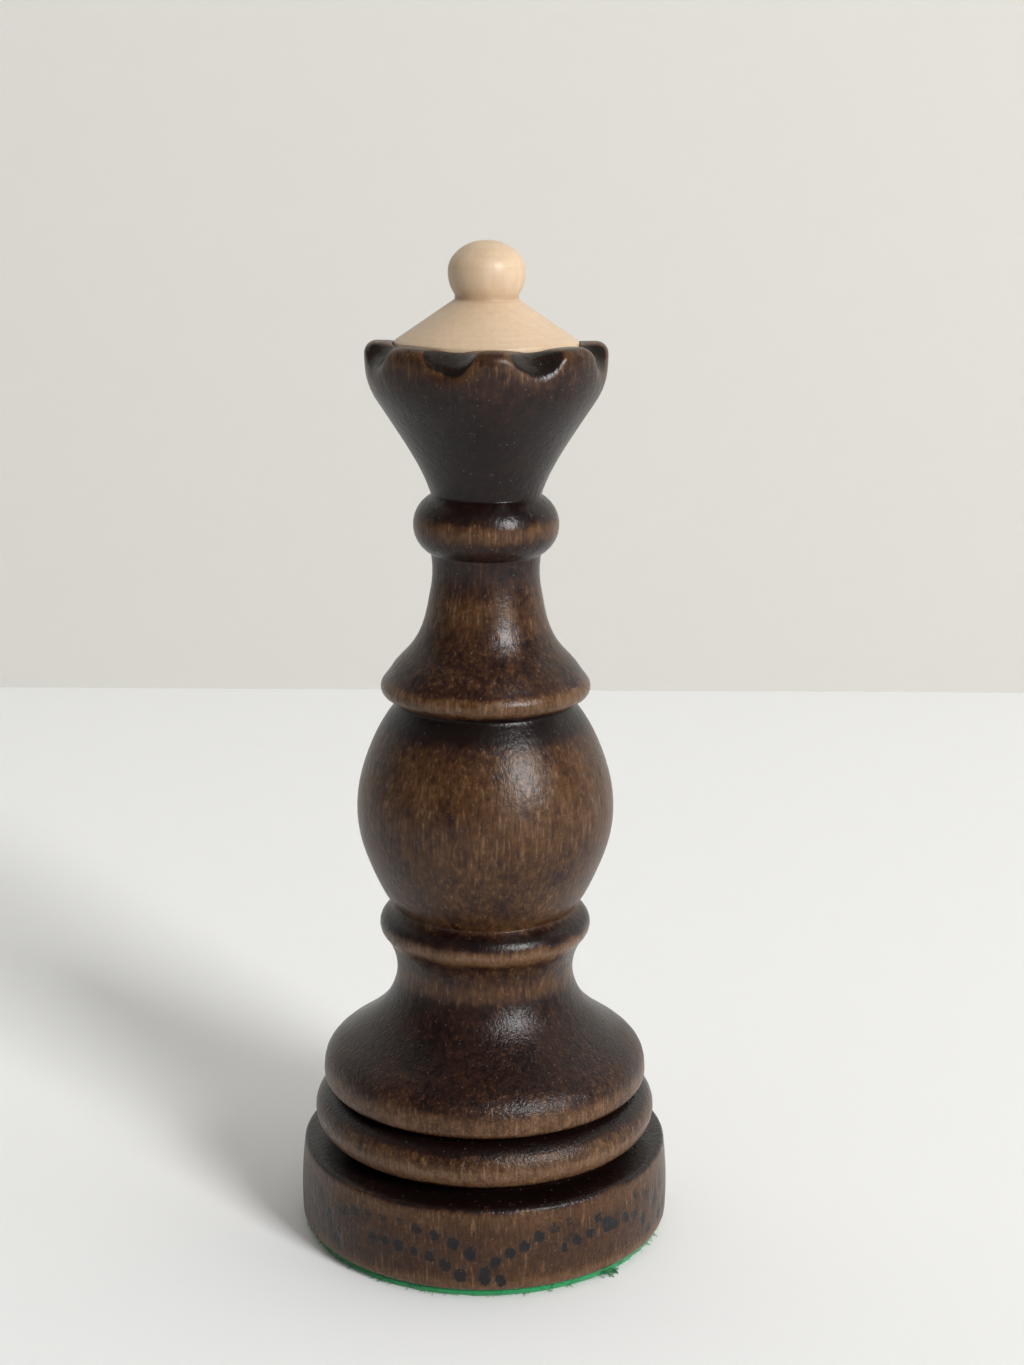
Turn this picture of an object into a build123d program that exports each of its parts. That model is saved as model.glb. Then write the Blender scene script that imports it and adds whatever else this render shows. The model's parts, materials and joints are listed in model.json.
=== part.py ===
from build123d import *
from math import cos, radians, sin
import os

# A chess queen, turned in wood and standing on a felt disc, in millimetres.
# The origin is at the middle of the felt's underside. +Z points up through the finial
# and -Y is the front, from which the crown's scoops are counted towards +X.
#
# The four pieces, from the board up:
#   base_felt     disc glued under the foot
#   base_weight   slug glued into a blind bore in the foot
#   turned_body   one dark turning, from the foot to the crown
#   finial        light turning, a knob on a cone, glued into the crown by its tenon

# Felt and weight
felt_thickness = 0.6
felt_margin = 0.25              # the felt reaches this far past the foot's flat underside
bore_radius = 9.0
bore_depth = 11.0
weight_clearance = 0.05         # radial gap of the slug in its bore
weight_recess = 0.4             # room for glue between the slug and the felt

# Drum at the foot, with a slight belly
base_radius = 17.5
base_height = 8.0
base_foot_round = 0.9
base_belly_rise = 2.9           # height of the widest circle above the underside
base_foot_taper = 0.04          # how far inside the widest circle the side starts and ends
base_top_taper = 0.3
base_top_round = 0.5

# Shoulder on top of the drum, with a small step before the groove under the ring
shoulder_rise = 0.15
step_inset = 1.1                # from the bottom of the groove out to the step
step_height = 0.3
foot_groove_radius = 12.7
foot_groove_height = 1.0

# Ring between the drum and the dome: a round, from one angle to another
ring_radius = 16.1
ring_round = 2.19
ring_arc = (-115.0, 90.0)
ring_groove_depth = 0.65
ring_groove_height = 0.45

# Dome, sweeping up into the cove
dome_radius = 15.25
dome_lip_round = 0.92
dome_lip_arc = (-90.0, 0.0)
dome_height = 10.15
cove_radius = 8.25

# Bead above the cove
cove_rise = 3.35
bead_radius = 9.85
bead_round = 1.55
bead_arc = (-48.0, 70.0)
bead_groove_radius = 8.5
bead_groove_height = 0.6

# Ball
ball_radius = 11.88
ball_foot_radius = 8.65
ball_top_radius = 8.6
ball_lower_height = 9.15
ball_upper_height = 9.4

# Skirt, sweeping up into the neck
skirt_groove_radius = 8.2
skirt_groove_height = 1.1
skirt_radius = 9.61
skirt_lip_round = 1.05
skirt_lip_arc = (-80.0, 45.0)
skirt_height = 10.15
neck_radius = 4.86

# Collar between the neck and the cup
neck_rise = 1.35
collar_foot_radius = 5.0
collar_radius = 6.6
collar_height = 5.3
cup_foot_radius = 5.0
cup_foot_height = 0.2

# Cup and crown
cup_height = 12.1
crown_radius = 10.83
crown_edge_height = 0.4
crown_wall = 2.5
crown_outer_round = 1.1
crown_inner_round = 0.45
recess_depth = 1.5

# Scoops filed across the crown's outer edge by hand, so no two are alike:
# degrees from the front, radius of the file, and depth of the bite below the rim
scoop_slope = 42.0
scoop_length = 16.0             # long enough to run out of the crown at both ends
scoops = [
    (-157.0, 2.6, 2.5),
    (-114.0, 2.9, 2.7),
    (-67.0, 2.8, 2.8),
    (-17.0, 2.3, 2.4),
    (25.0, 3.1, 2.4),
    (74.0, 2.8, 2.7),
    (115.0, 2.5, 2.4),
    (157.0, 2.8, 2.6),
]

# Finial
finial_clearance = 0.15         # radial gap of the cone's foot in the crown
cone_foot_height = 1.4
cone_height = 3.65
knob_neck_radius = 2.83
knob_neck_height = 0.4
knob_radius = 3.43
knob_lower_height = 1.95
knob_upper_height = 2.75
tenon_radius = 3.0
tenon_length = 7.0
tenon_clearance = 0.05          # radial gap of the tenon in its socket
socket_glue_gap = 0.6           # the socket is this much deeper than the tenon

# Directions in which the freehand curves leave or meet their edges: (outwards, up)
upright = (0, 1)
ball_foot_flank = (1, 1.3)
ball_top_flank = (-1, 1.3)
skirt_lip_flank = (-1, 1)
cup_foot_flank = (1, 3)
knob_foot_flank = (2, 3)
knob_tip_flank = (-1, 0)

# Points on the way along the freehand curves:
# (share of the way from the first radius to the second, share of the height)
dome_sweep = [(0.04, 0.18), (0.355, 0.38), (0.64, 0.53), (0.84, 0.675), (0.95, 0.825)]
dome_pulls = (1, 1)             # gentle, so that the sweep has no kink where it nears the cove
skirt_sweep = [(0.2, 0.123), (0.51, 0.27), (0.85, 0.567), (0.94, 0.763)]
cup_sweep = [(0.31, 0.31), (0.76, 0.645)]
ball_lower_sweep = [(0.535, 0.345)]
ball_upper_sweep = [(0.29, 0.53)]
knob_shoulder = [(0.22, 0.63)]


def reach(round_radius, angle):
    """How far up a round the given angle lies, from its centre."""
    return round_radius * sin(radians(angle))


# Levels, each counted up from the one before
z_foot = felt_thickness
z_base_top = z_foot + base_height
z_ring_foot = z_base_top + foot_groove_height
z_ring = z_ring_foot - reach(ring_round, ring_arc[0])
z_ring_top = z_ring + reach(ring_round, ring_arc[1])
z_dome_foot = z_ring_top + ring_groove_height
z_dome_lip = z_dome_foot - reach(dome_lip_round, dome_lip_arc[0])
z_cove = z_dome_lip + dome_height
z_bead_foot = z_cove + cove_rise
z_bead = z_bead_foot - reach(bead_round, bead_arc[0])
z_bead_top = z_bead + reach(bead_round, bead_arc[1])
z_ball_foot = z_bead_top + bead_groove_height
z_ball = z_ball_foot + ball_lower_height
z_ball_top = z_ball + ball_upper_height
z_skirt_foot = z_ball_top + skirt_groove_height
z_skirt_lip = z_skirt_foot - reach(skirt_lip_round, skirt_lip_arc[0])
z_skirt_top = z_skirt_lip + reach(skirt_lip_round, skirt_lip_arc[1])
z_neck = z_skirt_top + skirt_height
z_collar_foot = z_neck + neck_rise
z_collar_top = z_collar_foot + collar_height
z_cup_foot = z_collar_top + cup_foot_height
z_crown_edge = z_cup_foot + cup_height
z_crown_top = z_crown_edge + crown_edge_height + crown_outer_round
z_seat = z_crown_top - recess_depth
z_cone_foot = z_seat + cone_foot_height
z_cone_top = z_cone_foot + cone_height
z_knob_foot = z_cone_top + knob_neck_height
z_knob = z_knob_foot + knob_lower_height
z_tip = z_knob + knob_upper_height

foot_radius = base_radius - base_foot_round
recess_radius = crown_radius - crown_wall


def turned(edges):
    """Solid of revolution of a closed chain of edges in (radius, height)."""
    return revolve(Plane.XZ * make_face(Curve() + edges), Axis.Z)


def round_edge(outer_radius, z_centre, round_radius, arc):
    """Half-round whose widest point lies at outer_radius, from one angle to another."""
    centre = (outer_radius - round_radius, z_centre)
    return CenterArc(centre, round_radius, arc[0], arc[1] - arc[0])


def sweep_edge(start, end, shares, tangents, pulls=None):
    """Freehand curve between two points, through points given as shares of the way.

    pulls says how strongly the curve holds each end's direction, where that is set by hand.
    """
    (r_start, z_start), (r_end, z_end) = start, end
    between = [(r_start + (r_end - r_start) * r_share, z_start + (z_end - z_start) * z_share)
               for r_share, z_share in shares]
    return Spline([start, *between, end], tangents=tangents, tangent_scalars=pulls)


def base_edges(ring):
    """Underside, drum, shoulder and the groove up to the ring."""
    underside_edge = (foot_radius, z_foot)
    side_foot = (base_radius - base_foot_taper, z_foot + base_foot_round)
    belly = (base_radius, z_foot + base_belly_rise)
    side_top = (base_radius - base_top_taper, z_base_top - base_top_round)
    shoulder_edge = (side_top[0] - base_top_round, z_base_top)
    step_foot = (foot_groove_radius + step_inset, z_base_top + shoulder_rise)
    step_top = (step_foot[0] - step_height, step_foot[1] + step_height)
    groove = (foot_groove_radius, step_top[1])
    return [
        Line((0, z_foot), underside_edge),
        TangentArc(underside_edge, side_foot, tangent=(1, 0)),
        ThreePointArc(side_foot, belly, side_top),
        TangentArc(side_top, shoulder_edge, tangent=upright),
        Line(shoulder_edge, step_foot),
        Line(step_foot, step_top),
        Line(step_top, groove),
        Line(groove, ring @ 0),
    ]


def stem_edges():
    """Everything between the ring and the cup's foot."""
    ring = round_edge(ring_radius, z_ring, ring_round, ring_arc)
    ring_groove = ((ring @ 1).X - ring_groove_depth, z_ring_top + ring_groove_height / 2)
    dome_lip = round_edge(dome_radius, z_dome_lip, dome_lip_round, dome_lip_arc)
    cove = (cove_radius, z_cove)
    dome = sweep_edge((dome_radius, z_dome_lip), cove, dome_sweep, [upright, upright], dome_pulls)
    bead = round_edge(bead_radius, z_bead, bead_round, bead_arc)
    bead_groove = (bead_groove_radius, z_bead_top + bead_groove_height / 2)
    ball_foot = (ball_foot_radius, z_ball_foot)
    ball_middle = (ball_radius, z_ball)
    ball_top = (ball_top_radius, z_ball_top)
    lower = sweep_edge(ball_foot, ball_middle, ball_lower_sweep, [ball_foot_flank, upright])
    upper = sweep_edge(ball_middle, ball_top, ball_upper_sweep, [upright, ball_top_flank])
    skirt_groove = (skirt_groove_radius, z_ball_top + skirt_groove_height / 2)
    skirt_lip = round_edge(skirt_radius, z_skirt_lip, skirt_lip_round, skirt_lip_arc)
    neck = (neck_radius, z_neck)
    skirt_top = ((skirt_lip @ 1).X, z_skirt_top)
    skirt = sweep_edge(skirt_top, neck, skirt_sweep, [skirt_lip_flank, upright])
    collar_foot = (collar_foot_radius, z_collar_foot)
    collar_middle = (collar_radius, (z_collar_foot + z_collar_top) / 2)
    collar_top = (cup_foot_radius, z_collar_top)
    cup_foot = (cup_foot_radius, z_cup_foot)
    crown_edge = (crown_radius, z_crown_edge)
    return [
        ring,
        Line(ring @ 1, ring_groove),
        Line(ring_groove, dome_lip @ 0),
        dome_lip,
        dome,
        TangentArc(cove, bead @ 0, tangent=upright),
        bead,
        Line(bead @ 1, bead_groove),
        Line(bead_groove, ball_foot),
        lower,
        upper,
        Line(ball_top, skirt_groove),
        Line(skirt_groove, skirt_lip @ 0),
        skirt_lip,
        skirt,
        TangentArc(neck, collar_foot, tangent=upright),
        ThreePointArc(collar_foot, collar_middle, collar_top),
        Line(collar_top, cup_foot),
        sweep_edge(cup_foot, crown_edge, cup_sweep, [cup_foot_flank, upright]),
    ]


def crown_edges():
    """Crown's edge and rim, the recess behind it, and the axis down to the underside."""
    z_edge_top = z_crown_edge + crown_edge_height
    edge_top = (crown_radius, z_edge_top)
    rim_outer = (crown_radius - crown_outer_round, z_crown_top)
    rim_inner = (recess_radius + crown_inner_round, z_crown_top)
    wall_top = (recess_radius, z_crown_top - crown_inner_round)
    return [
        Line((crown_radius, z_crown_edge), edge_top),
        TangentArc(edge_top, rim_outer, tangent=upright),
        Line(rim_outer, rim_inner),
        TangentArc(rim_inner, wall_top, tangent=(-1, 0)),
        Line(wall_top, (recess_radius, z_seat)),
        Line((recess_radius, z_seat), (0, z_seat)),
        Line((0, z_seat), (0, z_foot)),
    ]


def scoop_cutter(azimuth, file_radius, bite):
    """File stroke: a cylinder that enters the crown's side at the bite and rises inwards."""
    lean = radians(scoop_slope)
    r_entry = crown_radius + file_radius * sin(lean)
    z_entry = z_crown_top - bite + file_radius * cos(lean)
    stroke = Plane(origin=(0, -r_entry, z_entry), z_dir=(0, cos(lean), sin(lean)))
    cutter = stroke * Cylinder(file_radius, scoop_length)
    return Rot(0, 0, azimuth) * cutter


def make_turned_body():
    stem = stem_edges()
    body = turned(base_edges(stem[0]) + stem + crown_edges())
    socket_depth = tenon_length + socket_glue_gap
    socket_radius = tenon_radius + tenon_clearance
    above = (Align.CENTER, Align.CENTER, Align.MIN)
    body -= Pos(0, 0, z_seat - socket_depth) * Cylinder(socket_radius, socket_depth, align=above)
    body -= Pos(0, 0, z_foot) * Cylinder(bore_radius, bore_depth, align=above)
    for azimuth, file_radius, bite in scoops:
        body -= scoop_cutter(azimuth, file_radius, bite)
    return body


def make_finial():
    cone_radius = recess_radius - finial_clearance
    cone_foot = (cone_radius, z_cone_foot)
    cone_top = (knob_neck_radius, z_cone_top)
    knob_foot = (knob_neck_radius, z_knob_foot)
    knob_middle = (knob_radius, z_knob)
    tip = (0, z_tip)
    return turned([
        Line((0, z_seat - tenon_length), (tenon_radius, z_seat - tenon_length)),
        Line((tenon_radius, z_seat - tenon_length), (tenon_radius, z_seat)),
        Line((tenon_radius, z_seat), (cone_radius, z_seat)),
        Line((cone_radius, z_seat), cone_foot),
        Line(cone_foot, cone_top),
        Line(cone_top, knob_foot),
        sweep_edge(knob_foot, knob_middle, [], [knob_foot_flank, upright]),
        sweep_edge(knob_middle, tip, knob_shoulder, [upright, knob_tip_flank]),
        Line(tip, (0, z_seat - tenon_length)),
    ])


def make_base_weight():
    slug_length = bore_depth - weight_recess
    slug = Cylinder(bore_radius - weight_clearance, slug_length,
                    align=(Align.CENTER, Align.CENTER, Align.MIN))
    return Pos(0, 0, z_foot + weight_recess) * slug


def make_base_felt():
    return Cylinder(foot_radius + felt_margin, felt_thickness,
                    align=(Align.CENTER, Align.CENTER, Align.MIN))


pieces = {
    "turned_body": make_turned_body(),
    "finial": make_finial(),
    "base_weight": make_base_weight(),
    "base_felt": make_base_felt(),
}

os.makedirs("parts", exist_ok=True)
for name, piece in pieces.items():
    export_step(piece, f"parts/{name}.step")
print(f"queen: {2 * base_radius:.1f} mm across the base, {z_tip:.2f} mm tall")
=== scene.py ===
import json
import math

import bpy
import numpy as np
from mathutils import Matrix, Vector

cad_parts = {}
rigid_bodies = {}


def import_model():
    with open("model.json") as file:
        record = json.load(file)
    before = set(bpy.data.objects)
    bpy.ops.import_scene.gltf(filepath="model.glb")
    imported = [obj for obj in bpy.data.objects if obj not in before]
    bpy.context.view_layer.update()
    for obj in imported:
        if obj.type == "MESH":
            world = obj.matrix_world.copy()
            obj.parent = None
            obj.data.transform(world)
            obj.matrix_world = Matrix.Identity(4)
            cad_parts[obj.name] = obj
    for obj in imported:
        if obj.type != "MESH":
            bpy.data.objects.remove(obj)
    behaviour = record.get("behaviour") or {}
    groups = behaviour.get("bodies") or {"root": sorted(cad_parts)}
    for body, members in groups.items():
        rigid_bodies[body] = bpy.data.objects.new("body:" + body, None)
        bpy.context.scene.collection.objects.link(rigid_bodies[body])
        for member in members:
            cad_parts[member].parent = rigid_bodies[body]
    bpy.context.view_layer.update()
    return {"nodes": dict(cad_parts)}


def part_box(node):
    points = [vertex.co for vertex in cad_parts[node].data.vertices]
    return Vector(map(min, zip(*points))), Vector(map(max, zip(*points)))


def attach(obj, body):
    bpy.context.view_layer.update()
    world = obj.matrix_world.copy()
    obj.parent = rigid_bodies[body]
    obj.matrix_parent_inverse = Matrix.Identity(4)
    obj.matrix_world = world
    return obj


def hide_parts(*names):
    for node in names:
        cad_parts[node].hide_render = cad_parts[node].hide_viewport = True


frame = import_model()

mm = 0.001
print("frame loaded:", sorted(frame["nodes"]))


def toLinear(hexColour):
    channels = [int(hexColour[i:i + 2], 16) / 255 for i in (1, 3, 5)]
    linear = [c / 12.92 if c <= 0.04045 else ((c + 0.055) / 1.055) ** 2.4 for c in channels]
    return (*linear, 1.0)


# adds a node with its settings, its values and links, and the stops of its ramp or curve
def addNode(tree, kind, inputs=None, stops=None, **settings):
    node = tree.nodes.new(kind)
    for setting, value in settings.items():
        setattr(node, setting, value)
    for socket, value in (inputs or {}).items():
        if isinstance(value, bpy.types.NodeSocket):
            tree.links.new(value, node.inputs[socket])
        else:
            node.inputs[socket].default_value = value
    if stops and hasattr(node, "color_ramp"):
        ramp = node.color_ramp
        ramp.elements.remove(ramp.elements[1])
        ramp.elements[0].position = stops[0][0]
        ramp.elements[0].color = toLinear(stops[0][1])
        for place, colour in stops[1:]:
            ramp.elements.new(place).color = toLinear(colour)
    elif stops:
        points = node.mapping.curves[0].points
        points[0].location = stops[0]
        points[1].location = stops[-1]
        for stop in stops[1:-1]:
            points.new(*stop)
        node.mapping.update()
    return node


def newMaterial(name):
    material = bpy.data.materials.new(name)
    material.use_nodes = True
    material.node_tree.nodes.clear()
    return material, material.node_tree


def newTree(name, inputs):
    tree = bpy.data.node_groups.new(name, "GeometryNodeTree")
    tree.interface.new_socket("Geometry", in_out="OUTPUT", socket_type="NodeSocketGeometry")
    tree.interface.new_socket("Geometry", in_out="INPUT", socket_type="NodeSocketGeometry")
    for label, kind in inputs:
        tree.interface.new_socket(label, in_out="INPUT", socket_type="NodeSocket" + kind)
    return tree, addNode(tree, "NodeGroupInput").outputs


def newObject(name, mesh):
    obj = bpy.data.objects.new(name, mesh)
    bpy.context.scene.collection.objects.link(obj)
    return obj


# puts a node tree on an object and fills in its named inputs
def addTree(obj, tree, values):
    modifier = obj.modifiers.new(tree.name, "NODES")
    modifier.node_group = tree
    for item in tree.interface.items_tree:
        if item.in_out == "INPUT" and item.name in values:
            modifier[item.identifier] = values[item.name]


# turns what the trees made into a plain mesh
def bakeTrees(obj):
    graph = bpy.context.evaluated_depsgraph_get()
    mesh = bpy.data.meshes.new_from_object(obj.evaluated_get(graph), preserve_all_data_layers=True,
                                           depsgraph=graph)
    obj.modifiers.clear()
    obj.data = mesh
    mesh.name = obj.name
    return mesh


def readPoints(mesh):
    flat = np.empty(len(mesh.vertices) * 3)
    mesh.vertices.foreach_get("co", flat)
    return flat.reshape(-1, 3) / mm


# radius and height of every circle on a turned CAD node, in millimetres, from its foot up
def readOutline(node, isWanted, lastRadius=0.0):
    places = readPoints(frame["nodes"][node].data)
    pairs = np.column_stack((np.hypot(places[:, 0], places[:, 1]), places[:, 2]))
    pairs = np.unique(np.round(pairs, 3), axis=0)
    pairs = pairs[isWanted(pairs[:, 0], pairs[:, 1])]
    outline = []
    for height in np.unique(pairs[:, 1]):
        level = pairs[pairs[:, 1] == height][:, 0]
        if abs(level[-1] - lastRadius) < abs(level[0] - lastRadius):
            level = level[::-1]
        outline += [(radius, height) for radius in level]
        lastRadius = level[-1]
    return outline


# an arc of a round, as points of an outline
def roundPoints(centre, radius, start, end, count=9):
    angles = np.radians(np.linspace(start, end, count))
    return [(centre[0] + radius * math.cos(a), centre[1] + radius * math.sin(a)) for a in angles]


# draws a smooth line through the outline, softens its corners as sanding does, and puts
# rows on it, closer together where it turns or where rowStep asks for it
def spaceRows(outline, rowStep, turnStep=25.0, cornerTurn=17.0, fineStep=0.03, softening=2.2):
    points = np.array([outline[0]] + [b for a, b in zip(outline, outline[1:])
                                      if math.dist(a, b) > 0.012])
    legs = np.diff(points, axis=0)
    lengths = np.hypot(legs[:, 0], legs[:, 1])
    headings = legs / lengths[:, None]
    turns = np.degrees(np.arccos(np.clip((headings[1:] * headings[:-1]).sum(1), -1, 1)))
    blended = headings[:-1] * lengths[1:, None] + headings[1:] * lengths[:-1, None]
    blended /= np.hypot(blended[:, 0], blended[:, 1])[:, None]
    # a long straight leg keeps its own heading up to its end
    before, after = lengths[:-1, None], lengths[1:, None]
    blended = np.where(before > 4 * after, headings[:-1], blended)
    blended = np.where(after > 4 * before, headings[1:], blended)
    isSmooth = (turns < cornerTurn)[:, None]
    leaving = np.vstack((headings[:1], np.where(isSmooth, blended, headings[1:])))
    arriving = np.vstack((np.where(isSmooth, blended, headings[:-1]), headings[-1:]))
    line = []
    for i, length in enumerate(lengths):
        u = np.arange(0, 1, fineStep / max(length, fineStep))[:, None]
        line.append((2 * u**3 - 3 * u**2 + 1) * points[i] + (u**3 - 2 * u**2 + u) * length * leaving[i]
                    + (3 * u**2 - 2 * u**3) * points[i + 1] + (u**3 - u**2) * length * arriving[i])
    line = np.vstack(line + [points[-1:]])
    reach = int(4 * softening)
    weights = np.exp(-0.5 * (np.arange(-reach, reach + 1) / softening) ** 2)
    padded = np.pad(line, ((reach, reach), (0, 0)), mode="edge")
    soft = np.column_stack([np.convolve(padded[:, k], weights / weights.sum(), "valid") for k in (0, 1)])
    soft[0], soft[-1] = line[0], line[-1]
    legs = np.diff(soft, axis=0)
    lengths = np.hypot(legs[:, 0], legs[:, 1])
    heading = np.unwrap(np.arctan2(legs[:, 1], legs[:, 0]))
    turned = np.abs(np.diff(heading, append=heading[-1]))
    steps = np.array([rowStep(radius, height) for radius, height in soft[1:]])
    cost = np.concatenate(([0], np.cumsum(lengths / steps + np.degrees(turned) / turnStep)))
    rows = np.linspace(0, cost[-1], int(math.ceil(cost[-1])) + 1)
    return np.column_stack([np.interp(rows, cost, soft[:, k]) for k in (0, 1)])


# Geometry Nodes lathe: turns the rows of an outline once round the Z axis
def makeLathe():
    tree, given = newTree("turnOnLathe", [("Outline", "Object"), ("Segments", "Int"),
                                          ("Finish", "Material")])
    outline = addNode(tree, "GeometryNodeObjectInfo", {"Object": given["Outline"]})
    size = addNode(tree, "GeometryNodeAttributeDomainSize", {"Geometry": outline.outputs["Geometry"]})
    columns = addNode(tree, "ShaderNodeMath", {0: given["Segments"], 1: 1.0}, operation="ADD")
    grid = addNode(tree, "GeometryNodeMeshGrid", {
        "Size X": 1.0, "Size Y": 1.0, "Vertices X": columns.outputs[0],
        "Vertices Y": size.outputs["Point Count"]})
    place = addNode(tree, "GeometryNodeInputPosition")
    place = addNode(tree, "ShaderNodeSeparateXYZ", {0: place.outputs[0]})
    angle = addNode(tree, "ShaderNodeMath", {0: place.outputs[0], 1: 2 * math.pi}, operation="MULTIPLY")
    share = addNode(tree, "ShaderNodeMath", {0: place.outputs[1], 1: 0.5}, operation="ADD")
    last = addNode(tree, "ShaderNodeMath", {0: size.outputs["Point Count"], 1: 1.0}, operation="SUBTRACT")
    row = addNode(tree, "ShaderNodeMath", {0: share.outputs[0], 1: last.outputs[0]}, operation="MULTIPLY")
    row = addNode(tree, "ShaderNodeMath", {0: row.outputs[0]}, operation="ROUND")
    outlinePlace = addNode(tree, "GeometryNodeInputPosition")
    ring = addNode(tree, "GeometryNodeSampleIndex", {
        "Geometry": outline.outputs["Geometry"], "Value": outlinePlace.outputs[0],
        "Index": row.outputs[0]}, data_type="FLOAT_VECTOR")
    ring = addNode(tree, "ShaderNodeSeparateXYZ", {0: ring.outputs[0]})
    across = addNode(tree, "ShaderNodeMath", {0: angle.outputs[0]}, operation="COSINE")
    across = addNode(tree, "ShaderNodeMath", {0: across.outputs[0], 1: ring.outputs[0]}, operation="MULTIPLY")
    along = addNode(tree, "ShaderNodeMath", {0: angle.outputs[0]}, operation="SINE")
    along = addNode(tree, "ShaderNodeMath", {0: along.outputs[0], 1: ring.outputs[0]}, operation="MULTIPLY")
    turned = addNode(tree, "ShaderNodeCombineXYZ", {0: across.outputs[0], 1: along.outputs[0],
                                                    2: ring.outputs[2]})
    placed = addNode(tree, "GeometryNodeSetPosition", {"Geometry": grid.outputs["Mesh"],
                                                       "Position": turned.outputs[0]})
    closed = addNode(tree, "GeometryNodeMergeByDistance", {"Geometry": placed.outputs[0],
                                                           "Distance": 0.0005 * mm})
    real = addNode(tree, "GeometryNodeRealizeInstances", {"Geometry": closed.outputs[0]})
    finished = addNode(tree, "GeometryNodeSetMaterial", {"Geometry": real.outputs[0],
                                                         "Material": given["Finish"]})
    addNode(tree, "NodeGroupOutput", {0: finished.outputs[0]})
    return tree


lathe = makeLathe()


def turnPiece(name, rows, segments, material):
    pattern = bpy.data.meshes.new(name + "Outline")
    pattern.from_pydata([(radius * mm, 0, height * mm) for radius, height in rows], [], [])
    patternObject = newObject(name + "Outline", pattern)
    piece = newObject(name, bpy.data.meshes.new(name))
    addTree(piece, lathe, {"Outline": patternObject, "Segments": segments, "Finish": material})
    return piece, patternObject


# shades a finished mesh smoothly and turns it the right way out
def finishMesh(mesh):
    places = readPoints(mesh)
    mesh.calc_loop_triangles()
    corners = np.empty(len(mesh.loop_triangles) * 3, np.int32)
    mesh.loop_triangles.foreach_get("vertices", corners)
    a, b, c = (places[corners.reshape(-1, 3)[:, k]] for k in range(3))
    if (a * np.cross(b, c)).sum() < 0:
        mesh.flip_normals()
    mesh.shade_smooth()


# ---- walnut-stained hornbeam
stained = {
    "deep": "#110706",           # stain pooled in the grooves, and the painted shade in grooves and on up-facing tops
    "brown": "#2b170f",          # the stain as it was sprayed
    "thin": "#4a3019",
    "amber": "#664b36",          # where hands have rubbed it thin, and the painted light on lit lips
    "fleck": "#1c1009",
    "fibre": "#7e6149",
    "burnt": "#0d0a09",
    "dotHalo": "#433429",
    "dotCore": "#121114",
    "dust": "#6f6860",
    "roughness": 0.29,
    "ior": 1.5,
    "specular": 0.28,            # old lacquer, worn thin, mirrors less than fresh
}

# how much of the stain is rubbed off each moulding, with light and shade painted in: hands wear the edges,
# not the grooves, and on top of that the lit lips are painted lighter and the grooves and up-facing tops
# painted darker
rubbedOffAndLight = [
    (0.0, 0.6), (1.2, 0.8), (2.4, 0.4), (6.0, 0.4), (7.9, 0.6),        # drum
    (8.6, 0.0), (9.6, 0.0),                                            # shoulder
    (10.4, 1.0), (11.8, 0.6), (13.0, 0.3), (13.8, 0.0),                # ring
    (14.8, 0.7), (15.6, 0.7), (16.6, 0.3), (20.0, 0.2), (24.0, 0.2),   # dome
    (25.3, 0.5), (26.5, 0.3), (28.2, 0.3),                             # cove
    (28.8, 1.0), (29.4, 1.0), (30.6, 0.1),                             # bead
    (32.2, 0.5), (34.0, 0.4), (42.0, 0.5), (46.0, 0.5), (49.5, 0.1),   # ball
    (51.0, 0.0), (51.8, 0.8), (53.0, 0.8), (53.6, 0.3),                # skirt
    (57.0, 0.3), (60.0, 0.5), (62.5, 0.3),                             # neck
    (66.0, 0.2), (67.5, 0.6), (68.8, 0.1),                             # collar
    (70.3, 0.1), (77.0, 0.1), (80.0, 0.2), (83.9, 0.4),                # cup
]
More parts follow.
